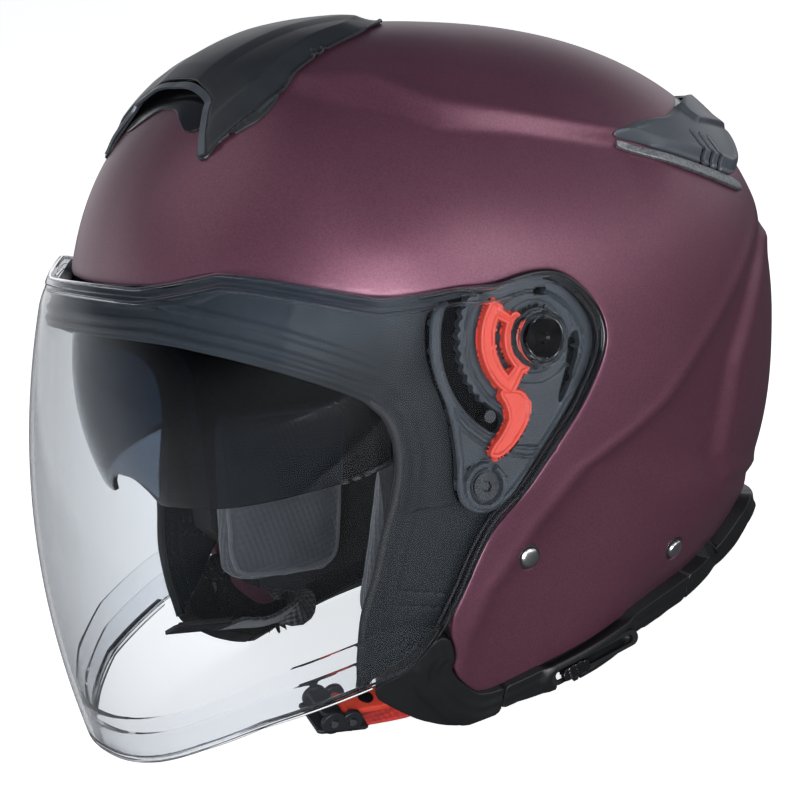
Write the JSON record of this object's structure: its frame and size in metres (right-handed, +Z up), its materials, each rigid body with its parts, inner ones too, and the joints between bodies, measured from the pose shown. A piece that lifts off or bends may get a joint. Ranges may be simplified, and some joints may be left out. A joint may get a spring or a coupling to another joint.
{
  "type": "open-face motorcycle helmet",
  "caption": "Open-face motorcycle helmet with a long clear hinged shield, an inner drop-down sun visor, vents, padded lining and a chin strap.",
  "frame": {"origin": "on the table, under the middle of the overall length and width", "axes": "+Z up from the rim the helmet stands on, -Y the way the face looks, +X the wearer's left"},
  "size_m": [0.2592, 0.334, 0.2649],
  "materials": {
    "painted_shell": "metallic plum paint, satin clear coat over a thermoplastic shell",
    "black_plastic": "fine-grained matte black moulding",
    "dark_plastic": "smooth black moulding",
    "red_plastic": "bright red moulding",
    "clear_shield": "clear polycarbonate, faint grey",
    "smoke_visor": "dark blue-grey polycarbonate",
    "foam": "expanded foam, dark",
    "pad_fabric": "knitted lining over foam",
    "rubber": "soft black rubber",
    "steel": "bright steel",
    "grey_chrome": "smoky chrome strip",
    "red_webbing": "woven red webbing",
    "black_webbing": "woven black webbing"
  },
  "bodies": {
    "helmet": {"outer_shell": "painted_shell", "impact_liner": "foam", "crown_pad": "pad_fabric", "cheek_pad_left": "pad_fabric", "cheek_pad_right": "pad_fabric", "neck_roll": "pad_fabric", "face_frame": "black_plastic", "eyeport_gasket": "rubber", "base_plate_left": "dark_plastic", "base_plate_right": "dark_plastic", "base_screws": "steel", "pivot_screws": "steel", "lever_springs": "steel", "sun_visor_pins": "steel", "slider_track": "dark_plastic", "visor_cable": "rubber", "trim_front_left": "black_plastic", "trim_front_right": "black_plastic", "trim_side_left": "black_plastic", "trim_side_right": "black_plastic", "trim_rear": "black_plastic", "top_vent_frame": "black_plastic", "rear_vent": "black_plastic", "vent_strip_left": "grey_chrome", "vent_strip_right": "grey_chrome", "rivet_caps": "steel", "strap_left": "red_webbing", "strap_right": "black_webbing", "strap_anchors": "steel", "buckle_body": "dark_plastic", "buckle_pins": "steel", "buckle_spring": "steel", "ratchet_tongue": "dark_plastic"},
    "shield": {"face_shield": "clear_shield", "shield_hub_left": "dark_plastic", "shield_hub_right": "dark_plastic", "ratchet_pins": "steel"},
    "sun_visor": {"sun_visor": "smoke_visor"},
    "visor_slider": {"visor_slider": "dark_plastic"},
    "lock_lever_left": {"lock_lever_left": "red_plastic"},
    "lock_lever_right": {"lock_lever_right": "red_plastic"},
    "top_vent_slider": {"top_vent_slider": "dark_plastic"},
    "buckle_lever": {"buckle_lever": "red_plastic"}
  },
  "joints": [
    {"name": "shield_hinge", "type": "hinge", "parent": "helmet", "child": "shield", "pos_m": [0, 0.00074, 0.1386], "axis": [-1, 0, 0], "range_deg": [0, 52]},
    {"name": "sun_visor_hinge", "type": "hinge", "parent": "helmet", "child": "sun_visor", "pos_m": [0, -0.02024, 0.12679], "axis": [-1, 0, 0], "range_deg": [0, 38]},
    {"name": "visor_slider_slide", "type": "slide", "parent": "helmet", "child": "visor_slider", "axis": [0, 0.9997, 0.0262], "range_m": [0, 0.024]},
    {"name": "lock_lever_left_hinge", "type": "hinge", "parent": "helmet", "child": "lock_lever_left", "pos_m": [0, 0.00074, 0.1386], "axis": [1, 0, 0], "range_deg": [0, 18], "stiffness_Nm_per_rad": 0.05},
    {"name": "lock_lever_right_hinge", "type": "hinge", "parent": "helmet", "child": "lock_lever_right", "pos_m": [0, 0.00074, 0.1386], "axis": [1, 0, 0], "range_deg": [0, 18], "stiffness_Nm_per_rad": 0.05},
    {"name": "top_vent_slide", "type": "slide", "parent": "helmet", "child": "top_vent_slider", "axis": [0, 0.9563, 0.2924], "range_m": [0, 0.006]},
    {"name": "buckle_lever_hinge", "type": "hinge", "parent": "helmet", "child": "buckle_lever", "pos_m": [0.054, -0.09015, 0.01284], "axis": [0.9063, -0.1376, -0.3996], "range_deg": [0, 40], "stiffness_Nm_per_rad": 0.02}
  ],
  "couplings": [
    {"joint": "visor_slider_slide", "follows": "sun_visor_hinge", "m_per_rad": 0.03619}
  ]
}
